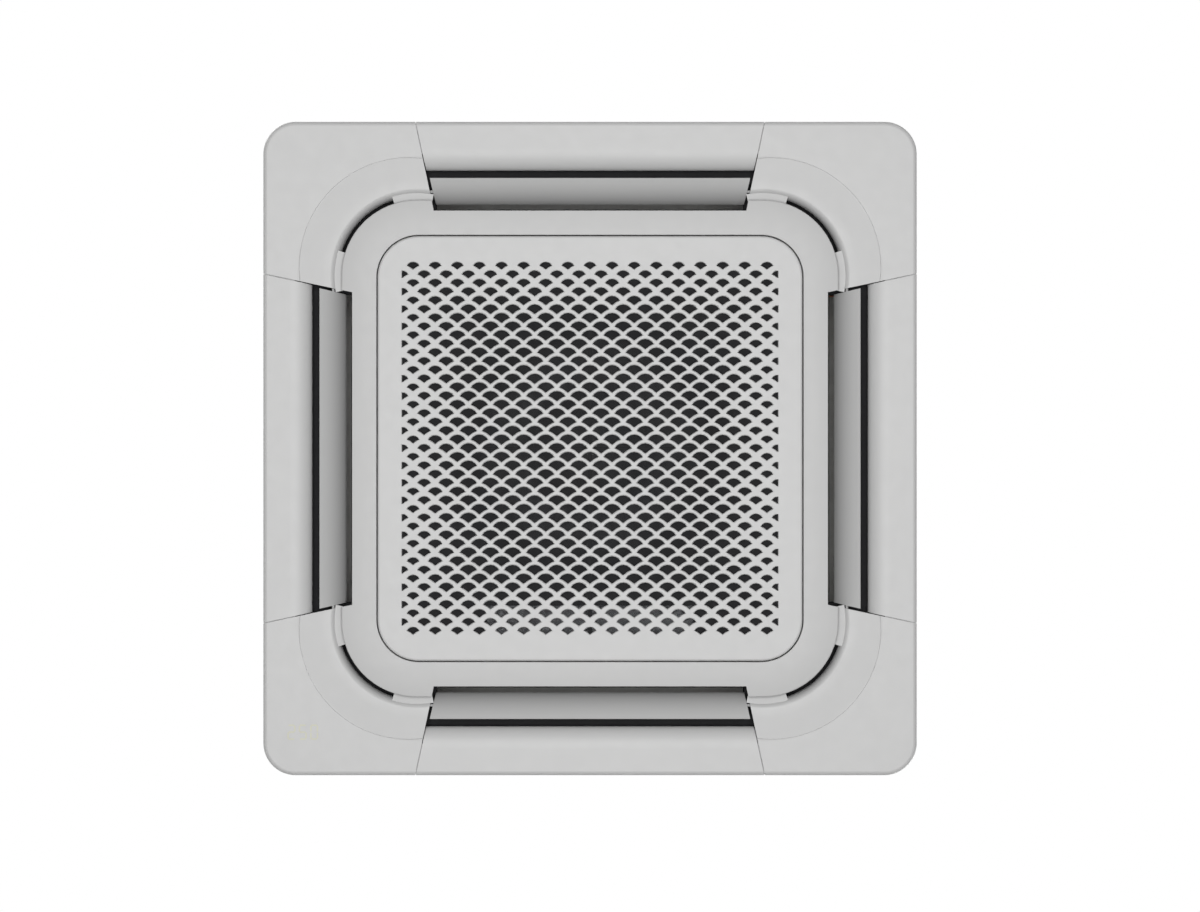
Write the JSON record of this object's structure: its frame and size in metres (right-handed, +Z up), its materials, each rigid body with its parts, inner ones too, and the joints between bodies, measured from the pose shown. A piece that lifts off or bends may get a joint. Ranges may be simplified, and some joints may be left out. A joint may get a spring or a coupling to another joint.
{
  "type": "ceiling cassette air conditioner",
  "caption": "Square ceiling panel with a patterned intake grille, curved air vanes along its sides and a cabinet with fan, coil and drain pan above the ceiling.",
  "frame": {"origin": "centre of the ceiling cut-out in the plane of the ceiling's lower face", "axes": "+Z up into the ceiling, +Y towards the edge that the picture shows lowest, +X to the picture's right"},
  "size_m": [0.95, 0.95, 0.294],
  "materials": {
    "white_panel": "satin white moulded ABS, neutral light grey in shade",
    "vane_plastic": "satin white moulded ABS",
    "frame_plastic": "satin white moulded ABS",
    "grey_plastic": "matte dark grey moulded plastic",
    "white_foam": "expanded polystyrene with fine bead texture",
    "dark_foam": "dark grey expanded polystyrene with fine bead texture",
    "gasket_foam": "matte black closed-cell foam",
    "zinc_steel": "galvanised sheet steel with faint spangle",
    "fin_aluminium": "bright fin stock",
    "copper": "drawn copper tube",
    "brass": "turned brass",
    "steel": "zinc-plated steel",
    "black_rubber": "matte black rubber",
    "circuit_green": "coated circuit board with dark parts",
    "filter_net": "dark grey plastic net"
  },
  "bodies": {
    "unit": {"cabinet_shell": "zinc_steel", "cabinet_lining": "white_foam", "heat_exchanger": "fin_aluminium", "coil_end_plate_right": "copper", "coil_end_plate_rear": "copper", "gas_pipe": "copper", "liquid_pipe": "copper", "gas_flare_nut": "brass", "liquid_flare_nut": "brass", "pipe_plate": "zinc_steel", "fan_motor": "steel", "bell_mouth": "grey_plastic", "drain_pan": "dark_foam", "drain_plug": "black_rubber", "drain_pump": "grey_plastic", "float_switch": "white_panel", "drain_hose": "black_rubber", "drain_socket": "white_panel", "control_box": "zinc_steel", "control_box_lid": "zinc_steel", "circuit_board": "circuit_green", "terminal_block": "grey_plastic", "panel_seal": "gasket_foam", "panel_frame": "frame_plastic", "display_board": "circuit_green", "hanger_bracket_front_right": "zinc_steel", "panel_screw_front_right": "steel", "corner_cap_front_right": "white_panel", "hanger_bracket_front_left": "zinc_steel", "panel_screw_front_left": "steel", "corner_cap_front_left": "white_panel", "hanger_bracket_rear_left": "zinc_steel", "panel_screw_rear_left": "steel", "corner_cap_rear_left": "white_panel", "hanger_bracket_rear_right": "zinc_steel", "panel_screw_rear_right": "steel", "corner_cap_rear_right": "white_panel", "side_cover_right": "white_panel", "vane_motor_right": "grey_plastic", "side_cover_front": "white_panel", "vane_motor_front": "grey_plastic", "side_cover_left": "white_panel", "vane_motor_left": "grey_plastic", "side_cover_rear": "white_panel", "vane_motor_rear": "grey_plastic"},
    "fan": {"impeller": "grey_plastic", "motor_shaft": "steel", "fan_nut": "steel"},
    "grille_rail": {"grille_hinge_rail": "zinc_steel"},
    "grille": {"intake_grille": "white_panel", "filter_frame": "grey_plastic", "filter_mesh": "filter_net"},
    "catch_left": {"push_catch_left": "white_panel"},
    "catch_right": {"push_catch_right": "white_panel"},
    "float": {"float": "grey_plastic"},
    "pump": {"pump_rotor": "white_panel"},
    "vane_right": {"air_vane_right": "vane_plastic"},
    "vane_front": {"air_vane_front": "vane_plastic"},
    "vane_left": {"air_vane_left": "vane_plastic"},
    "vane_rear": {"air_vane_rear": "vane_plastic"}
  },
  "joints": [
    {"name": "fan_spin", "type": "hinge", "parent": "unit", "child": "fan", "pos_m": [0, 0, 0.17], "axis": [0, 0, 1], "continuous": true},
    {"name": "vane_right_swing", "type": "hinge", "parent": "unit", "child": "vane_right", "pos_m": [0.3735, 0, -0.014], "axis": [0, 1, 0], "range_deg": [-62, 18]},
    {"name": "vane_front_swing", "type": "hinge", "parent": "unit", "child": "vane_front", "pos_m": [0, 0.3735, -0.014], "axis": [-1, 0, 0], "range_deg": [-62, 18]},
    {"name": "vane_left_swing", "type": "hinge", "parent": "unit", "child": "vane_left", "pos_m": [-0.3735, 0, -0.014], "axis": [0, -1, 0], "range_deg": [-62, 18]},
    {"name": "vane_rear_swing", "type": "hinge", "parent": "unit", "child": "vane_rear", "pos_m": [0, -0.3735, -0.014], "axis": [1, 0, 0], "range_deg": [-62, 18]},
    {"name": "rail_slide", "type": "slide", "parent": "unit", "child": "grille_rail", "axis": [0, 0, -1], "range_m": [0, 0.013]},
    {"name": "grille_swing", "type": "hinge", "parent": "grille_rail", "child": "grille", "pos_m": [0, -0.298, -0.029], "axis": [-1, 0, 0], "range_deg": [0, 90]},
    {"name": "catch_left_press", "type": "slide", "parent": "unit", "child": "catch_left", "axis": [0, 0, 1], "range_m": [0, 0.004], "stiffness_N_per_m": 800},
    {"name": "catch_right_press", "type": "slide", "parent": "unit", "child": "catch_right", "axis": [0, 0, 1], "range_m": [0, 0.004], "stiffness_N_per_m": 800},
    {"name": "float_rise", "type": "slide", "parent": "unit", "child": "float", "axis": [0, 0, 1], "range_m": [0, 0.012]},
    {"name": "pump_spin", "type": "hinge", "parent": "unit", "child": "pump", "pos_m": [0.285, -0.285, 0.04], "axis": [0, 0, 1], "continuous": true}
  ],
  "couplings": [
    {"joint": "rail_slide", "follows": "grille_swing", "m_per_rad": 0.008276}
  ]
}
